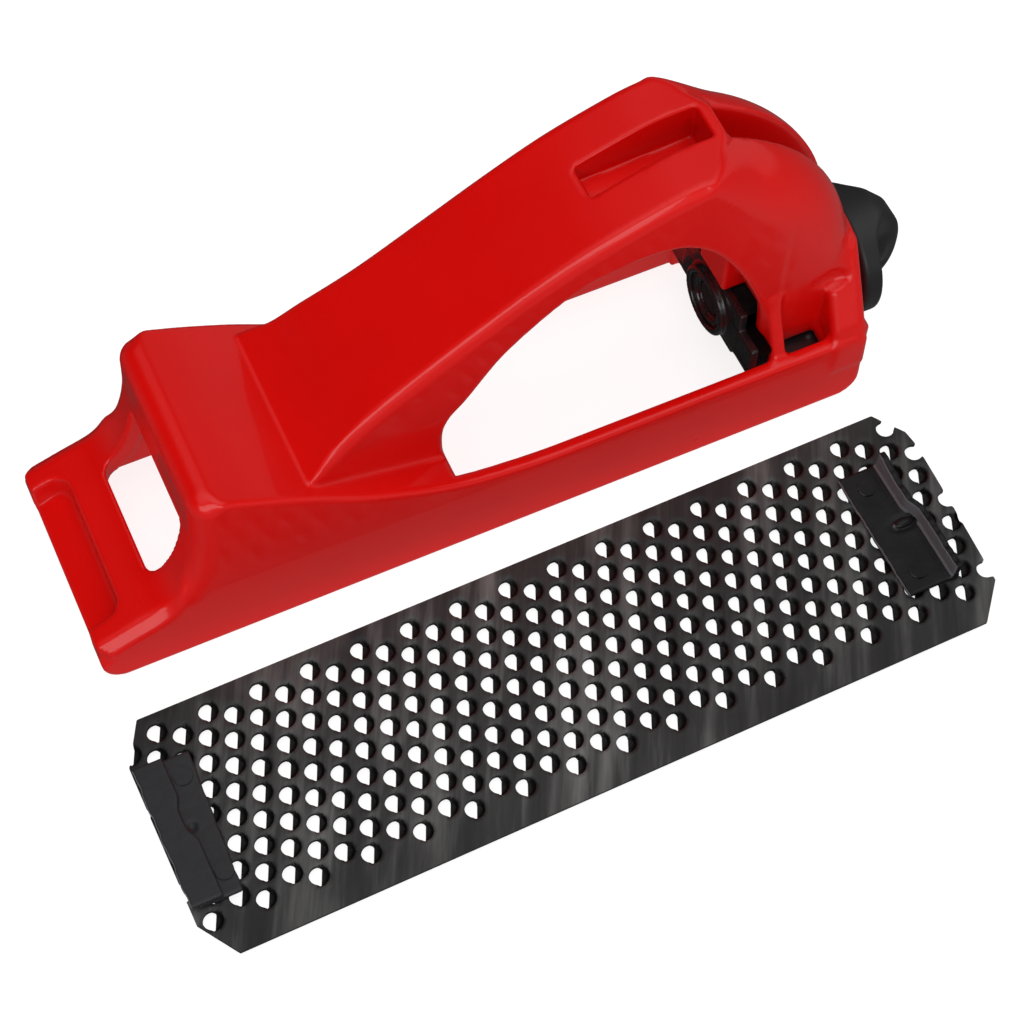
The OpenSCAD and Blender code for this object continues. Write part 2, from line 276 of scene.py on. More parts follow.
class Nodes:
    """A material's node tree, with short calls for the nodes used below."""

    def __init__(self, name, **values):
        self.material = bpy.data.materials.new(name)
        self.material.use_nodes = True
        self.tree = self.material.node_tree
        self.shader = self.tree.nodes["Principled BSDF"]
        for key, value in values.items():
            self.shader.inputs[key.replace("_", " ")].default_value = value
        self.position = self.add("ShaderNodeTexCoord").outputs["Object"]

    def add(self, kind, inputs=None, **settings):
        node = self.tree.nodes.new(kind)
        for key, value in settings.items():
            setattr(node, key, value)
        for key, value in (inputs or {}).items():
            if isinstance(value, bpy.types.NodeSocket):
                self.tree.links.new(value, node.inputs[key])
            else:
                node.inputs[key].default_value = value
        return node

    def noise(self, scale, detail=3.0, rough=0.5, stretch=None, turn=0.0):
        at = self.position
        if turn:
            rotation = (0, 0, math.radians(turn))
            at = self.add("ShaderNodeMapping", {"Vector": at, "Rotation": rotation}).outputs[0]
        if stretch:
            at = self.add("ShaderNodeMapping", {"Vector": at, "Scale": stretch}).outputs[0]
        return self.add("ShaderNodeTexNoise", {"Vector": at, "Scale": scale, "Detail": detail,
                                               "Roughness": rough}).outputs["Fac"]

    def ramp(self, value, stops):
        node = self.add("ShaderNodeValToRGB", {"Fac": value})
        ramp = node.color_ramp
        while len(ramp.elements) < len(stops):
            ramp.elements.new(0.5)
        for element, (at, colour) in zip(ramp.elements, stops):
            element.position = at
            element.color = (*colour, 1) if len(colour) == 3 else colour
        return node.outputs["Color"]

    def remap(self, value, a, b, c, d):
        return self.add("ShaderNodeMapRange", {"Value": value, "From Min": a, "From Max": b,
                                               "To Min": c, "To Max": d}).outputs["Result"]

    def mix(self, factor, a, b):
        node = self.add("ShaderNodeMix", data_type="RGBA")
        for key, value in ((0, factor), (6, a), (7, b)):
            if isinstance(value, bpy.types.NodeSocket):
                self.tree.links.new(value, node.inputs[key])
            else:
                node.inputs[key].default_value = value
        return node.outputs[2]

    def bump(self, height, strength, distance, normal=None):
        inputs = {"Height": height, "Strength": strength, "Distance": distance}
        if normal is not None:
            inputs["Normal"] = normal
        return self.add("ShaderNodeBump", inputs).outputs["Normal"]

    def set(self, **sockets):
        for key, value in sockets.items():
            self.tree.links.new(value, self.shader.inputs[key.replace("_", " ")])
        return self.material


def red_enamel():
    m = Nodes("red_enamel", Roughness=0.3, Coat_Weight=0.5, Coat_Roughness=0.06,
              Specular_IOR_Level=0.25)
    tone = m.noise(45, 2)
    colour = m.ramp(tone, [(0.0, (0.64, 0.0022, 0.0014)), (1.0, (0.74, 0.0034, 0.0022))])
    peel = m.bump(m.noise(300, 1), 0.05, 0.0002)
    rough = m.remap(m.noise(160, 3), 0, 1, 0.24, 0.36)
    return m.set(Base_Color=colour, Roughness=rough, Normal=peel)


def black_plastic():
    m = Nodes("black_plastic", Specular_IOR_Level=0.5)
    colour = m.ramp(m.noise(60, 3), [(0.3, (0.012, 0.012, 0.013)), (0.7, (0.020, 0.020, 0.021))])
    grain = m.bump(m.noise(2600, 2), 0.18, 0.00006)
    rough = m.remap(m.noise(90, 2), 0.3, 0.7, 0.36, 0.46)
    return m.set(Base_Color=colour, Roughness=rough, Normal=grain)


def black_enamel():
    m = Nodes("black_enamel", Coat_Weight=0.5, Coat_Roughness=0.08, Specular_IOR_Level=0.5)
    colour = m.ramp(m.noise(120, 3), [(0.3, (0.006, 0.006, 0.007)), (0.7, (0.014, 0.014, 0.015))])
    lumps = m.bump(m.noise(330, 2), 0.35, 0.0003)
    rough = m.remap(m.noise(200, 3), 0.3, 0.7, 0.2, 0.36)
    return m.set(Base_Color=colour, Roughness=rough, Normal=lumps)


def hook_steel():
    """Black and oily, greyer at the front, with painted light that makes the faces looking to the
    front paler.
    """
    m = Nodes("hook_steel", Coat_Weight=0.12, Coat_Roughness=0.12, Specular_IOR_Level=0.3)
    oily = m.ramp(m.noise(140, 3), [(0.3, (0.002, 0.002, 0.0022)), (0.7, (0.009, 0.009, 0.010))])
    along = m.add("ShaderNodeSeparateXYZ", {"Vector": m.position}).outputs["X"]
    base = m.mix(m.remap(along, 0.03, -0.03, 0.0, 0.8), oily, (0.027, 0.0275, 0.030, 1))
    normal = m.add("ShaderNodeNewGeometry").outputs["Normal"]
    facing = m.add("ShaderNodeSeparateXYZ", {"Vector": normal})
    # Painted light: faces whose normal looks to the front are made paler grey
    front_light = m.remap(facing.outputs["X"], -0.5, -0.8, 0.0, 1.0)
    colour = m.mix(front_light, base, (0.13, 0.13, 0.14, 1))
    lumps = m.bump(m.noise(420, 2), 0.4, 0.0003)
    rough = m.remap(m.noise(200, 3), 0, 1, 0.22, 0.5)
    return m.set(Base_Color=colour, Roughness=rough, Normal=lumps)


def dark_steel():
    m = Nodes("dark_steel", Metallic=0.8)
    colour = m.ramp(m.noise(300, 4), [(0.3, (0.035, 0.035, 0.036)), (0.7, (0.075, 0.074, 0.072))])
    turned = m.bump(m.noise(900, 2, stretch=(6, 1, 1)), 0.2, 0.00008)
    rough = m.remap(m.noise(260, 3), 0.3, 0.7, 0.28, 0.45)
    return m.set(Base_Color=colour, Roughness=rough, Normal=turned)


def blade_steel():
    """Oily grey with streaks across it, and painted shade, near black, in the pressed-down scoops
    behind the teeth.
    """
    m = Nodes("blade_steel", Metallic=0.15, Specular_IOR_Level=0.4)
    streaks = m.noise(260, 4, 0.6, stretch=(1.0, 0.08, 1.0), turn=27)
    cloud = m.noise(60, 3)
    base = m.ramp(streaks, [(0.3, (0.012, 0.012, 0.0125)), (0.5, (0.038, 0.038, 0.038)),
                            (0.70, (0.14, 0.139, 0.136))])
    colour = m.mix(m.remap(cloud, 0.35, 0.65, 0, 0.6), base, (0.018, 0.018, 0.0185, 1))
    depth = m.add("ShaderNodeSeparateXYZ", {"Vector": m.position}).outputs["Z"]
    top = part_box("blade_sheet")[1].z
    # Painted shade: points sunk below the sheet's top, in the tooth scoops, are made near black
    recess_shade = m.remap(depth, top - 0.0004, top - 0.00015, 1.0, 0.0)
    colour = m.mix(recess_shade, colour, (0.004, 0.004, 0.004, 1))
    marks = m.bump(streaks, 0.25, 0.0001)
    pits = m.bump(m.noise(1500, 3), 0.15, 0.00006, marks)
    rough = m.remap(cloud, 0.3, 0.7, 0.34, 0.5)
    return m.set(Base_Color=colour, Roughness=rough, Normal=pits)


RED, PLASTIC, ENAMEL, STEEL, BLADE, HOOK = (red_enamel(), black_plastic(), black_enamel(),
                                            dark_steel(), blade_steel(), hook_steel())

# ---------------------------------------------------------------- the casting

SOLE_HW, DRAFT, WALL = 19.5, 0.058, 2.4
REAR_X, RAIL_Z = 138.0, 15.0
ARCH_X, ARCH_Z, ARCH_R, ARCH_HW = 91.1, 20.0, 47.3, 12.0
HANDLE_START, ARCH_START = 31, 103
CREST_ROUND, ARCH_ROUND = 3.2, 8.8
# Pocket on each side between the rib and the corner post, and how far out it starts
POCKET_X, POCKET_Y = (122.2, 131.4), 12.0
RIB_X, RIB_HW = 119.7, 17.4
# Space that the carriage runs in: low and wide all along, and high in the middle
CHAMBER_X, CHAMBER_HW, CHAMBER_TALL_HW = (114, 134.5), 15.3, 10.2
CHAMBER_Z, CHAMBER_LOW_Z, CHAMBER_TALL_Z = 16.8, 11.4, 24.5
HUB_R, HUB_LEN, SCREW_BORE_R = 7.5, 1.2, 3.1
OPENING_HW, WINDOW_HW, SEAT_HW, SEAT_END = 16.2, 11, 14, 6.3
HOLLOW_END, RAILS_X = 59.5, (62.6, 118.5)
# Slots in the handle's top and along the arch, and the radius of the arch's slot at its bottom
SLOT_HW, SLOT_R = 3.1, 38.5

PROFILE = Outline(
    arc(4, 4, 4, 270, 180)
    + [(0, 8.2)]
    + spline([(0.3, 8.5), (6, 10.6), (11, 12.4), (14, 14.6), (16.1, 17.8), (17.6, 22), (18.6, 27),
              (18.9, 31), (19.0, 34.0)])
    + arc(22.0, 33.9, 3.0, 178, 64)
    + spline([(23.3, 36.6), (30, 33.4), (38, 29.0), (45, 24.6), (51.9, 21.2), (58.6, 18.4),
              (65.5, 16.5), (76, RAIL_Z + 0.2), (84, RAIL_Z)])
    + [(REAR_X - 1.5, RAIL_Z), (REAR_X, RAIL_Z - 1.5)]
    + arc(REAR_X - 4, 4, 4, 0, -90))

OPENING = Outline(
    [(63.5, -3)]
    + spline([(63.5, 13), (62.6, 15.4), (62, 19), (62.1, 24), (63.4, 27.6), (66.3, 31.0),
              (71.5, 38.2), (75, 41.7), (79.7, 45.6), (83.7, 48.3), (87.8, 50.2), (94.4, 51.3),
              (100, 50.9), (104, 49.2), (108.1, 45.6), (112.2, 39.6), (115.7, 32.6), (118.6, 25),
              (119.8, 19), (120, 13)])
    + [(120, -3)])

FRONT_HOLLOW = Outline(
    [(-3, -3), (-3, 0.8), (1, 0.8), (7, 3), (9, 8.0), (14, 9.6)]
    + spline([(14, 9.6), (17.8, 13), (20.4, 20), (21.4, 28), (22.0, 33.5)], 8)
    + [(23.5, 34.2), (38, 25.8), (52, 17.2), (59.5, 15.2), (59.5, -3)])

WINDOW = Outline([(11.9, -3), (11.9, 24.0), (13, 26.0), (26, 26.0), (26, 9), (18, -3)])

HOOK_SEAT = Outline([(-3, 2.4), (0, 3.2), (5.9, 6.2), (6.3, 7.0), (6.3, 20), (-3, 20)])

HANDLE_TOP = Curve([(30, 23.6), (38, 29.0), (43.3, 32.6), (48.6, 36.2), (58.6, 41.8),
                    (68.6, 47.7), (78.6, 53.4), (88.6, 58.2), (98.6, 61.7), (104, 63.0),
                    (110, 63.4), (118, 63.4)])
HANDLE_HW = Curve([(28, 15.8), (38, 15.3), (41, 14.8), (44.5, 13.9), (48.6, 13.3), (53, 12.8),
                   (58.6, 12.4), (68.6, 12.1), (78.6, 11.95), (88.6, 12.0), (98.6, 12.0),
                   (112, 12.0)])


def casting(x, y, z):
    """The red body, with every edge and fillet of the die casting."""
    w = np.abs(y)
    off_axis = np.hypot(y, z - SCREW_Z)
    # The box under the handle: sloping sides, softened corners at the crest and a bevelled nose
    side = w - SOLE_HW + DRAFT * z
    bowed = x + 1.6 * (w / 19) ** 2 * smooth((x - 118) / 15)
    profile = PROFILE(bowed, z)
    corner = smooth((x - 13.5) / 4) * smooth((24.5 - x) / 3) * smooth((z - 8) / 5)
    skirt = round_inter(profile, side, 0.8 + 3.0 * corner)
    size = 2.5 * smooth((20 - x) / 8) * smooth((z - 3) / 3)
    skirt = round_inter(skirt, (profile + side + size - 0.6) * math.sqrt(0.5), 0.4)
    # The handle, with its bevelled edges, and the arch that carries on from it
    top = HANDLE_TOP.below(x, z)
    flank = w - HANDLE_HW(x)
    band = 0.1 + 0.9 * smooth((x - 37.5) / 6)
    bevel = (top / 1.7 + flank / 1.25 + band) / math.hypot(1 / 1.7, 1 / 1.25)
    handle = round_inter(round_inter(top, bevel, 0.35), flank, 0.5)
    ends = 0.80 * (x - 108.3) + 0.52 * (w - 11.0) + 0.30 * (z - 62)
    handle = round_inter(handle, ends, 1.2)
    handle = np.maximum(np.maximum(handle, 10 - z), HANDLE_START - x)
    rho = np.where(z > ARCH_Z, np.hypot(x - ARCH_X, z - ARCH_Z), x - ARCH_X)
    rounding = CREST_ROUND + (ARCH_ROUND - CREST_ROUND) * smooth((x - 104) / 13)
    arch = round_inter(rho - ARCH_R, w - ARCH_HW, rounding)
    arch = round_inter(arch, top, 0.6)
    arch = round_inter(arch, bevel - 5 * smooth((x - 105) / 10), 0.4)
    arch = np.maximum(np.maximum(arch, ARCH_START - x), 3 - z)
    crease = np.exp(-((x - 38) / 5) ** 2) * smooth((z - 20) / 6)
    d = fillet_union(skirt, np.minimum(handle, arch), 1.0 - 0.5 * crease)
    # Corner posts and ribs at the foot of the arch
    slope = (z - RAIL_Z - 0.8 - 1.55 * (18.4 - w)) / 1.84
    post = box(bowed, y, z, POCKET_X[1], REAR_X, -20, 20, 8, 60)
    post = round_inter(round_inter(post, slope, 1.6), np.maximum(side + 0.15, z - 30), 1.2)
    rib = box(x, y, z, RIB_X, POCKET_X[0] - 0.2, -RIB_HW, RIB_HW, 8, 26.5, 0.3)
    rib = round_inter(rib, (z - RAIL_Z - 2.3 * (17.0 - w)) / 2.5, 0.5)
    wall = box(x, y, z, POCKET_X[1], REAR_X - 0.5, -17, 17, 3, RAIL_Z)
    hub = round_inter(off_axis - HUB_R, np.maximum(x - REAR_X - HUB_LEN, 130 - x), 0.4)
    d = fillet_union(np.minimum(d, wall), hub, 0.8)
    # Everything that is cut away
    inner = side + WALL
    d = cut(d, np.maximum(OPENING(x, z), w - OPENING_HW), 0.7)
    d = cut(d, np.maximum(np.maximum(FRONT_HOLLOW(x, z), inner), x - HOLLOW_END), 0.4)
    rails = np.maximum(np.maximum(RAILS_X[0] - x, x - RAILS_X[1]), np.maximum(inner, z - RAIL_Z - 1))
    d = cut(d, rails, 0.3)
    window = round_inter(WINDOW(x, z), np.maximum(w - WINDOW_HW, z - 26), 2.0)
    d = cut(d, window, 0.35)
    seat = round_inter(HOOK_SEAT(x, z), w - SEAT_HW, 1.0)
    d = cut(d, round_inter(seat, round_inter(x - SEAT_END, w - SEAT_HW, 4.0), 0.8), 0.5)
    ceiling = np.where(x < POCKET_X[0], CHAMBER_Z, CHAMBER_LOW_Z)
    wide = np.maximum(w - CHAMBER_HW, z - ceiling)
    tall = np.maximum(w - CHAMBER_TALL_HW, z - CHAMBER_TALL_Z)
    chamber = np.maximum(np.minimum(wide, tall), np.maximum(CHAMBER_X[0] - x, x - CHAMBER_X[1]))
    d = cut(d, chamber, 0.3)
    # The web that hangs from the arch above the carriage
    web = box(x, y, z, 115.9, 124, -4.2, 4.2, 20.9, 33, 0.3)
    d = fillet_union(d, np.maximum(web, rho - ARCH_R + 3), 0.6)
    ledge = POCKET_X[1] - 1.4 * smooth((14.5 - z) / 2)
    pocket = np.maximum(np.maximum(POCKET_X[0] - x, x - ledge), np.maximum(inner, POCKET_Y - w))
    d = cut(d, pocket, 0.4)
    d = fillet_union(d, cut(np.minimum(post, rib), chamber, 0.3), 1.3)
    # A dimple in each corner post, and the slots in the crest
    dimple = ellipsoid(x, w, z, (131.5, 12.6, 25.6), (3.4, 1.8, 2.2))
    d = cut(d, dimple * 1.8, 0.5)
    hollow = np.maximum(w - SLOT_HW, 55 - z + 0.06 * (x - 90))
    d = cut(d, round_inter(np.maximum(90.4 - x, x - 110.6), hollow, 0.6), 0.3)
    slot = np.maximum(np.maximum(w - SLOT_HW, 112.6 - x), np.maximum(SLOT_R - rho, 29 - z))
    d = cut(d, slot, 0.3)
    return cut(d, np.maximum(off_axis - SCREW_BORE_R, 125 - x), 0.2)


points, quads = surface_net(casting, (-1.6, -21, -1.2), (140.8, 21, 65), spacing(0.5))
mesh_piece("casting", points, quads, RED, "body", ["body_casting"])

# ---------------------------------------------------------------- the knob

KNOB_X, KNOB_R, DISC_T, WING_X = 140.1, 11.5, 3.4, 11.5
BOSS_R, BOSS_X, GRIP_R, GRIP_DEPTH = 4.0, 8.6, 3, 7.5


def knob(x, y, z):
    """A disc with a waisted wing across it, and the blind hole that the screw sits in."""
    u, v, r = x - KNOB_X, z - SCREW_Z, np.hypot(y, z - SCREW_Z)
    across = np.abs(u - 1.5) / (WING_X - 1.5), np.abs(v) / (KNOB_R - 0.15)
    oval = (across[0] ** 2.4 + across[1] ** 2.4) ** (1 / 2.4) - 1
    thick = 2.0 + 1.0 * smooth((np.hypot(u - 1.5, v) - 4) / 5)
    wing = round_inter(oval * 10, np.abs(y) - thick, 1.3)
    d = fillet_union(u - DISC_T, wing, 5.5)
    d = fillet_union(d, round_inter(r - BOSS_R, u - BOSS_X, 1.2), 2.0)
    d = round_inter(d, r - KNOB_R, 0.35)
    d = round_inter(d, -u, 0.9)
    return cut(d, np.maximum(r - GRIP_R, u - GRIP_DEPTH), 0.2)


points, quads = surface_net(knob, (139.6, -12.6, 0.6), (154.2, 12.6, 25.6), spacing(0.32))
mesh_piece("knob_moulding", points, quads, PLASTIC, "screw", ["knob"])

# ---------------------------------------------------------------- the blade

# The blade is drawn from its own middle and lies turned a little beside the body
TURN = math.radians(0.85)
CORNERS = [(-65.7, -21), (-70, -14.3), (-70, 13.8), (-66, 21), (67.2, 21), (70.9, 15.8),
           (71.3, 13), (70.9, 2), (70, -15), (64.8, -21)]
turned = np.array([rotate(x, y, TURN) for x, y in CORNERS])
blade_box = np.array(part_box("blade_sheet"))
BLADE_MID = (blade_box.mean(0) - ORIGIN)[:2] / MM - (turned.min(0) + turned.max(0)) / 2
BLADE_T = 0.8
BLADE_Z = (blade_box[1, 2] - ORIGIN[2]) / MM - BLADE_T
# Each row of holes is a step towards the near edge and a shift towards the rear
ROWS, PITCH, SHIFT, STEP, ROW_X, ROW_Y, ROW_END = 17, 8.8, 3.62, 2.03, -64.4, 17.55, 70.4
# A hole is round except for its cutting edge, which is a chord that runs askew
HOLE_R, CHORD, SKEW = 1.52, 0.45, math.radians(25)
# An open hole has its chord moved this far out, which makes it a full circle
OPEN_SHIFT = 3
# Every point within this distance of a hole, along x and y, belongs to it
REACH = 3.2
TOOTH_DEPTH, TOOTH_R, RIM_DEPTH, RIM_R = 0.95, 1.85, 0.12, 2.2
HOLES = np.array([(ROW_X + r * SHIFT + k * PITCH, ROW_Y - r * STEP) for r in range(ROWS)
                  for k in range(-8, 17) if abs(ROW_X + r * SHIFT + k * PITCH) < ROW_END])
# The rows bow a little towards the ends
bow = (HOLES[:, 0] / 68) ** 2
HOLES += np.stack([0.75 * bow - 0.25, 0.45 * bow - 0.15], 1)


def on_blade(points):
    """From the blade's own middle, x to the rear and y to the far side, to the drawing's place."""
    x, y, z = np.asarray(points, float).T
    x, y = rotate(x, y, TURN)
    return np.stack([BLADE_MID[0] + x, BLADE_MID[1] + y, BLADE_Z + z], 1)


def outline(x, y):
    """Distance to the plate's outline."""
    d = np.full(np.broadcast(x, y).shape, -1e9)
    for (ax, ay), (bx, by) in zip(CORNERS, CORNERS[1:] + CORNERS[:1]):
        n = np.array([by - ay, ax - bx])
        n = n / np.linalg.norm(n)
        d = np.maximum(d, -((x - ax) * n[0] + (y - ay) * n[1]))
    return d


# Holes that the sheared rear end cuts open have no tooth
OPEN = (outline(*HOLES.T) > -HOLE_R) & (HOLES[:, 0] > 0)


def plate(x, y):
    """Distance to the plate's outline, less its holes."""
    u, v, is_open = nearest_hole(x, y)
    hole = round_inter(np.hypot(u, v) - HOLE_R, u - CHORD - OPEN_SHIFT * is_open, 0.1)
    return np.maximum(outline(x, y), -hole)


def nearest_hole(x, y):
    """Offsets from the closest hole's middle, square to its cutting edge and along it."""
    best = np.full(np.broadcast(x, y).shape, 1e9)
    u, v, is_open = best.copy(), best.copy(), np.zeros(best.shape)
    for (hx, hy), flag in zip(HOLES, OPEN):
        near = (np.abs(x - hx) < REACH) & (np.abs(y - hy) < REACH)
        i = np.nonzero(near)
        du = np.broadcast_to(x, best.shape)[i] - hx
        dv = np.broadcast_to(y, best.shape)[i] - hy
        d = np.hypot(du - 0.5, dv)
        closer = d < best[i]
        i = tuple(a[closer] for a in i)
        best[i], u[i], v[i], is_open[i] = d[closer], du[closer], dv[closer], flag
    return *rotate(u, v, SKEW), is_open


def sheet_height(x, y):
    """How far the sheet is pressed down round each hole, and deeper behind it for the tooth."""
    u, v, is_open = nearest_hole(x, y)
    r = np.hypot(u, v)
    scoop = TOOTH_DEPTH * smooth((TOOTH_R - r) / 0.5) * smooth((u + 0.2) / 0.6) * (1 - is_open)
    return -scoop - RIM_DEPTH * smooth((RIM_R - r) / 0.8)


def flat_net(g, low, high, step):
    """A flat quad mesh of g < 0 whose border follows g = 0, with its border edges."""
    ax = [np.arange(a, b + step, step) for a, b in zip(low, high)]
    gx, gy = np.meshgrid(*ax, indexing="ij")
    v = g(gx, gy)
    neg = v < 0
    corners = [(0, 0), (1, 0), (1, 1), (0, 1)]
    count = sum(neg[a:v.shape[0] - 1 + a, b:v.shape[1] - 1 + b].astype(int) for a, b in corners)
    cell = count > 0
    index = np.full(cell.shape, -1)
    index[cell] = np.arange(cell.sum())
    at = np.argwhere(cell)
    mixed = count[cell] < 4
    edges = zip(corners, corners[1:] + corners[:1])
    local = np.where(mixed[:, None], crossing(v, at, edges), 0.5)
    points = np.array(low) + step * (at + local)
    e = FLAT_PROBE
    for _ in range(FIT_ROUNDS):
        x, y = points[mixed].T
        d = g(x, y)
        gr = np.stack([g(x + e, y) - g(x - e, y), g(x, y + e) - g(x, y - e)], 1) / (2 * e)
        move = -d[:, None] * gr / np.maximum((gr * gr).sum(1), 0.25)[:, None]
        points[mixed] += np.clip(move, -0.5 * step, 0.5 * step)
    i, j = np.nonzero(neg[1:-1, 1:-1])
    i, j = i + 1, j + 1
    faces = np.stack([index[i - 1, j - 1], index[i, j - 1], index[i, j], index[i - 1, j]], 1)
    border = []
    sides = ((-1, 0, (-1, 0), (-1, -1)), (1, 0, (0, -1), (0, 0)),
             (0, -1, (-1, -1), (0, -1)), (0, 1, (0, 0), (-1, 0)))
    for di, dj, a, b in sides:
        off = ~neg[i + di, j + dj]
        k, m = i[off], j[off]
        border.append(np.stack([index[k + a[0], m + a[1]], index[k + b[0], m + b[1]]], 1))
    return points, faces, np.concatenate(border)


def blade_sheet():
    """Two copies of the flat net, one sheet thickness apart, joined round every edge."""
    flat, faces, border = flat_net(plate, (-71, -22), (72.4, 22), spacing(0.36))
    h = sheet_height(*flat.T)
    n = len(flat)
    points = np.concatenate([np.column_stack([flat, BLADE_T + h]), np.column_stack([flat, h])])
    walls = np.stack([border[:, 0], border[:, 1], border[:, 1] + n, border[:, 0] + n], 1)
    quads = np.concatenate([faces, faces[:, ::-1] + n, walls])
    mesh_piece("blade_plate", on_blade(points), quads, BLADE, "blade", ["blade_sheet"],
               sharp=50)


blade_sheet()

# Half widths of the front and the rear hook, and the thickness of both
HOOK_HW, HOOK_T = (12.4, 12.0), 1.0


def hook_piece(name, f, low, high, node):
    """A hook drawn from the blade's own middle and the sheet's upper face."""
    points, quads = surface_net(f, low, high, spacing(0.24))
    points[:, 2] += BLADE_T
    mesh_piece(name, on_blade(points), quads, HOOK, "blade", [node])


def front_hook(x, y, z):
    """A flange on the sheet, and a lip raised above it behind a crooked fold."""
    hw = HOOK_HW[0]
    wob = 0.3 * np.sin(y * 0.9 - 0.6) + 0.15 * np.sin(y * 2.3)
    fold = -64.7 - 1.1 * np.exp(-((y - 1.7) / 3.2) ** 4) - 0.25 * smooth((y - 4) / 3)
    flange = box(x, y, z, -66.4, -61.1 + 0.04 * y + 0.2 * wob, -hw, hw, 0.05, HOOK_T, 0.3)
    raised = box(x, y, z, -69.9 + 0.35 * wob, -64.0, -hw, hw, 1.2, 2.3, 0.35)
    raised = round_inter(raised, x - fold, 0.3)
    web = round_inter(box(x, y, z, -68.4, -64.0, -12.3, 12.3, 0.1, 1.8, 0.2), x - fold + 0.1, 0.2)
    d = fillet_union(flange, np.minimum(raised, web), 0.3)
    return cut(d, ellipsoid(x, y, z, (-64.8, 0.2, 1.3), (0.9, 1.0, 0.7)), 0.25)


def rear_hook(x, y, z):
    """A flange on the sheet with a bent-up edge, and a small pin pressed out of it."""
    hw = HOOK_HW[1]
    wob = 0.25 * np.sin(y * 0.8 - 1.0) + 0.2 * np.sin(y * 1.9) + 0.12 * np.sin(y * 4.3)
    flange = box(x, y, z, 55.4 + 0.15 * wob, 64.6, -hw, hw, 0.05, HOOK_T, 0.3)
    lean = 63.9 + 0.1 * z - 1.1 * smooth((y + 0.3) / 3.5)
    edge = 4.0 + 0.3 * wob + 0.6 * smooth((y - 5) / 7)
    web = box(x - lean, y, z, -0.6, 0.6, -hw, hw, 0.2, edge, 0.3)
    d = fillet_union(flange, web, 0.7)
    pin = ellipsoid(x, y, z, (61.2, 0.3, 1.0), (1.9, 0.85, 0.75))
    groove = ellipsoid(x, y, z, (61.3, 0.3, 1.05), (2.5, 1.5, 0.35))
    return fillet_union(cut(d, groove * 0.5, 0.2), pin * 0.8, 0.15)


hook_piece("front_hook_lip", front_hook, (-71.6, -13.6, -0.6), (-60.2, 13.6, 3.8), "front_hook")
hook_piece("rear_hook_lip", rear_hook, (54.4, -13, -0.6), (66.4, 13, 5.6), "rear_hook")

# ---------------------------------------------------------------- the carriage and the small parts

# The pressing's front plate, with a wide and a tall part, and the cup and recess in its middle
PLATE_X, PLATE_Z, WIDE, TALL = (116.6, 118.1), 9.2, (14.6, 16.1), (9.8, 20.2)
CUP_R, CUP_X, RECESS_R, RECESS_X, CLEARANCE_R = 6.4, 115.2, 5.1, 116.2, 3.2
# The flanges behind it, with a claw at the end of each
FLANGE_X, FLANGE_Y, FLANGE_TOP = (116.8, 130.5), 6.8, 10.7
CLAW_X, CLAW_Y, CLAW_Z = 129.0, 12.4, 3.6
# The channel that the nut is held in, outside and inside
CHANNEL_X, CHANNEL_HW, CHANNEL_Z = (117.5, 128.8), 7.4, 5.6
CHANNEL_IN_HW, CHANNEL_IN_Z = 6.1, 6.9


def carriage(x, y, z):
    """The black pressing that the screw draws to the rear."""
    w = np.abs(y)
    r = np.hypot(y, z - SCREW_Z)
    front, back = PLATE_X
    wide = box(x, y, z, front, back, -WIDE[0], WIDE[0], PLATE_Z, WIDE[1], 0.35)
    tall = box(x, y, z, front, back, -TALL[0], TALL[0], PLATE_Z, TALL[1], 0.35)
    cup = round_inter(r - CUP_R, np.maximum(CUP_X - x, x - back), 0.5)
    d = fillet_union(fillet_union(wide, tall, 0.3), cup, 0.5)
    flange = box(x, w, z, *FLANGE_X, FLANGE_Y, WIDE[0], PLATE_Z, FLANGE_TOP, 0.3)
    claw = box(x, w, z, CLAW_X, FLANGE_X[1], FLANGE_Y, CLAW_Y, CLAW_Z, FLANGE_TOP, 0.3)
    channel = box(x, y, z, *CHANNEL_X, -CHANNEL_HW, CHANNEL_HW, CHANNEL_Z, FLANGE_TOP, 0.4)
    inside = np.maximum(w - CHANNEL_IN_HW, CHANNEL_IN_Z - z)
    channel = cut(channel, np.maximum(inside, back - x), 0.2)
    d = fillet_union(d, fillet_union(np.minimum(flange, channel), claw, 0.8), 0.5)
    d = cut(d, np.maximum(r - RECESS_R, x - RECESS_X), 0.3)
    ring = round_inter(np.abs(r - 4.2) - 0.45, np.maximum(x - 116.4, 115.7 - x), 0.2)
    return cut(np.minimum(d, ring), r - CLEARANCE_R, 0.2)


points, quads = surface_net(carriage, (114.6, -15.6, 3), (131.2, 15.6, 21), spacing(0.3))
mesh_piece("carriage_pressing", points, quads, ENAMEL, "carriage", ["tension_carriage"])

# CAD nodes whose shape stays
LOOKS = {"tension_screw": STEEL, "knob_washer": STEEL, "thrust_washer": STEEL,
         "retaining_clip": STEEL, "carriage_nut": STEEL, "hook_welds": HOOK}
for node, material in LOOKS.items():
    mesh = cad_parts[node].data
    mesh.materials.clear()
    mesh.materials.append(material)

# ---------------------------------------------------------------- floor, light and camera

FLOOR, FLOOR_Z = 4.0, -0.0002
floor_mesh = bpy.data.meshes.new("floor")
floor_mesh.from_pydata([(-FLOOR, -FLOOR, FLOOR_Z), (FLOOR, -FLOOR, FLOOR_Z),
                        (FLOOR, FLOOR, FLOOR_Z), (-FLOOR, FLOOR, FLOOR_Z)], [], [(0, 1, 2, 3)])
floor = bpy.data.objects.new("floor", floor_mesh)
bpy.context.scene.collection.objects.link(floor)
paper = Nodes("paper", Roughness=0.9, Specular_IOR_Level=0.1, Emission_Strength=0.85)
paper.shader.inputs["Base Color"].default_value = (0.3, 0.3, 0.3, 1)
paper.shader.inputs["Emission Color"].default_value = (1, 1, 1, 1)
floor_mesh.materials.append(paper.material)
floor.visible_glossy = False

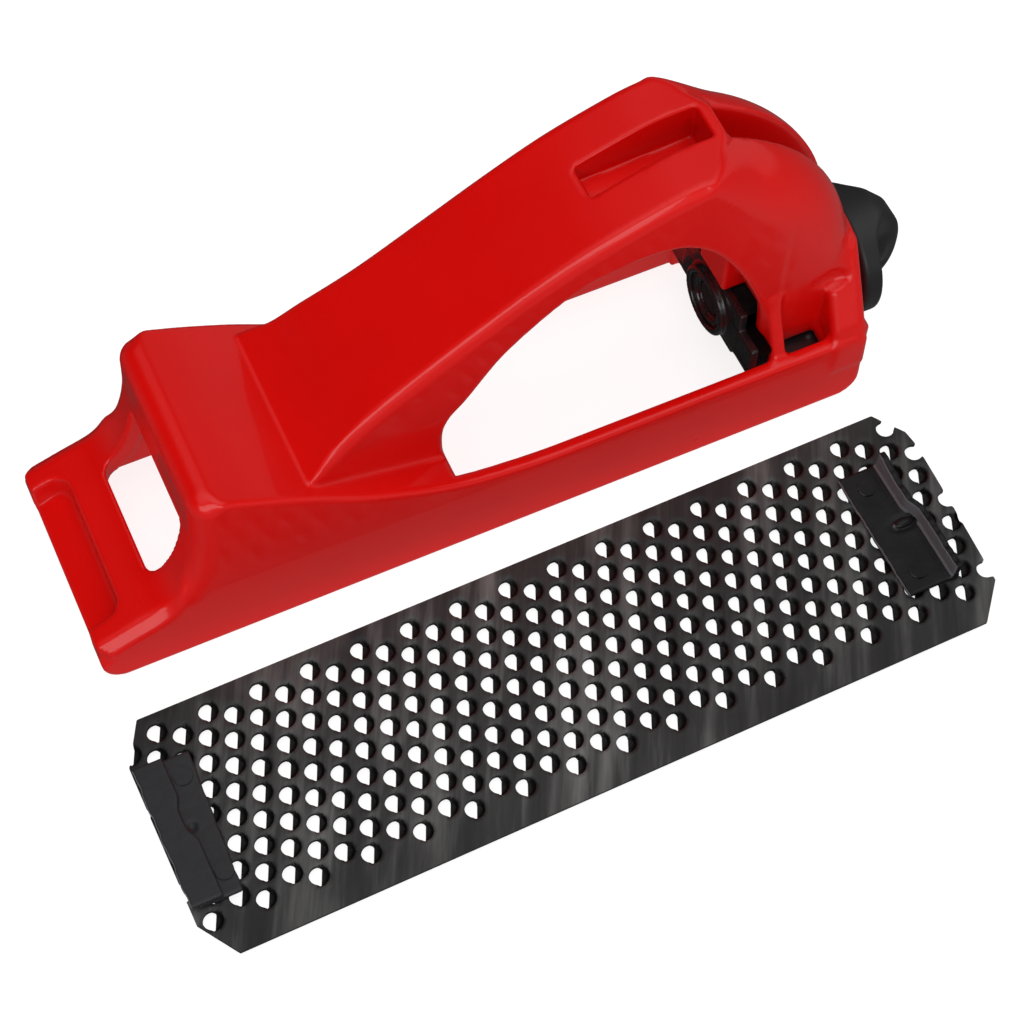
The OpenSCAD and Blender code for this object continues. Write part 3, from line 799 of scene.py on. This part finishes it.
# Light from all round, as heights from 0, straight down, to 1, straight up, and their levels
LEVELS = (0.0, 0.16), (0.49, 0.03), (0.53, 0.36), (0.70, 0.34), (0.80, 0.05), (1.0, 1.0)
world = bpy.data.worlds.new("studio")
bpy.context.scene.world = world
world.use_nodes = True
sky = world.node_tree
height = sky.nodes.new("ShaderNodeSeparateXYZ")
sky.links.new(sky.nodes.new("ShaderNodeTexCoord").outputs["Generated"], height.inputs[0])
bands = sky.nodes.new("ShaderNodeValToRGB")
for at, _ in LEVELS[1:-1]:
    bands.color_ramp.elements.new(at)
for element, (_, level) in zip(bands.color_ramp.elements, LEVELS):
    element.color = (level, level, level, 1)
turn = sky.nodes.new("ShaderNodeMath")
turn.operation = "MULTIPLY_ADD"
turn.inputs[1].default_value = turn.inputs[2].default_value = 0.5
sky.links.new(height.outputs["Z"], turn.inputs[0])
sky.links.new(turn.outputs[0], bands.inputs[0])
# Darker towards the nose, brighter behind and on the near side
facing = sky.nodes.new("ShaderNodeVectorMath")
facing.operation = "DOT_PRODUCT"
facing.inputs[1].default_value = (0.6, -0.42, 0)
sky.links.new(height.inputs[0].links[0].from_socket, facing.inputs[0])
share = sky.nodes.new("ShaderNodeMapRange")
for key, value in (("From Min", -0.42), ("From Max", 0.3), ("To Min", 0.12), ("To Max", 1.0)):
    share.inputs[key].default_value = value
sky.links.new(facing.outputs["Value"], share.inputs["Value"])
sky.links.new(bands.outputs["Color"], sky.nodes["Background"].inputs["Color"])
sky.links.new(share.outputs["Result"], sky.nodes["Background"].inputs["Strength"])

AIM = Vector(((CAD_BOX[0][0] + CAD_BOX[1][0]) / 2, (CAD_BOX[0][1] + CAD_BOX[1][1]) / 2, 0.02))


def area_light(name, offset, size, power, glossy=False):
    data = bpy.data.lights.new(name, "AREA")
    data.shape = "RECTANGLE"
    data.size, data.size_y = size
    data.energy = power
    obj = bpy.data.objects.new(name, data)
    obj.location = AIM + Vector(offset)
    obj.rotation_euler = (-Vector(offset)).to_track_quat("-Z", "Y").to_euler()
    obj.visible_glossy = glossy
    bpy.context.scene.collection.objects.link(obj)


area_light("overhead", offset=(-0.1, -0.1, 1.2), size=(1.4, 1.4), power=11)
area_light("softbox", offset=(-0.45, -0.95, 0.52), size=(1.1, 0.5), power=3.4, glossy=True)

# The camera, placed in millimetres from the same point as the shapes
AZIMUTH, ELEVATION, ROLL = math.radians(-26.59), math.radians(60.57), math.radians(2.13)
CAMERA_AT, SENSOR, LENS = (-14.2, -189.6, 341.2), 36, 82.72265625
back = Vector((math.sin(AZIMUTH) * math.cos(ELEVATION), -math.cos(AZIMUTH) * math.cos(ELEVATION),
               math.sin(ELEVATION)))
right = (-back).cross(Vector((0, 0, 1))).normalized()
up = right.cross(-back)
right, up = (right * math.cos(ROLL) + up * math.sin(ROLL),
             up * math.cos(ROLL) - right * math.sin(ROLL))
camera_data = bpy.data.cameras.new("camera")
camera_data.sensor_width = SENSOR
camera_data.lens = LENS
camera = bpy.data.objects.new("camera", camera_data)
camera.matrix_world = (Matrix.Translation(Vector(ORIGIN) + Vector(CAMERA_AT) * MM)
                       @ Matrix((right, up, back)).transposed().to_4x4())
bpy.context.scene.collection.objects.link(camera)
bpy.context.scene.camera = camera
bpy.context.scene.view_settings.view_transform = "Standard"
